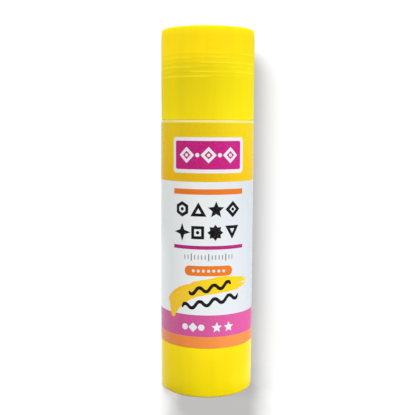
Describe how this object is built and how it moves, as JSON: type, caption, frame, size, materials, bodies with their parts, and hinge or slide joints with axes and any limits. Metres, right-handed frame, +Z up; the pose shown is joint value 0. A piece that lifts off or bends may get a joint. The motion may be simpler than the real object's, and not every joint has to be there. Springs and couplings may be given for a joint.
{
  "type": "glue stick",
  "caption": "Twist-up glue stick: a round barrel with a push-on cap, and a turning knob at the foot that screws a cup of solid glue up and out.",
  "frame": {"origin": "centre of the flat face that the stick stands on, under the knob", "axes": "+Z up along the stick towards the cap; -Y towards the front of the label; +X to the right when the label is read"},
  "size_m": [0.03, 0.03, 0.1158],
  "materials": {
    "barrel_plastic": "white moulded polypropylene, satin",
    "label_film": "printed film with a light gloss",
    "yellow_plastic": "yellow moulded polypropylene, satin",
    "natural_plastic": "uncoloured moulded polypropylene",
    "glue": "waxy off-white solid glue"
  },
  "bodies": {
    "barrel": {"barrel": "barrel_plastic", "label": "label_film"},
    "knob": {"knob": "yellow_plastic", "spindle": "natural_plastic"},
    "carrier": {"carrier": "natural_plastic", "glue": "glue"},
    "cap": {"cap": "yellow_plastic"}
  },
  "joints": [
    {"name": "knob_turn", "type": "hinge", "parent": "barrel", "child": "knob", "pos_m": [0, 0, 0], "axis": [0, 0, 1], "range_deg": [0, 4321]},
    {"name": "glue_rise", "type": "slide", "parent": "barrel", "child": "carrier", "axis": [0, 0, 1], "range_m": [0, 0.072]},
    {"name": "cap_lift", "type": "slide", "parent": "carrier", "child": "cap", "axis": [0, 0, 1], "range_m": [0, 0.06]}
  ],
  "couplings": [
    {"joint": "knob_turn", "follows": "glue_rise", "rad_per_m": 1047.2}
  ]
}
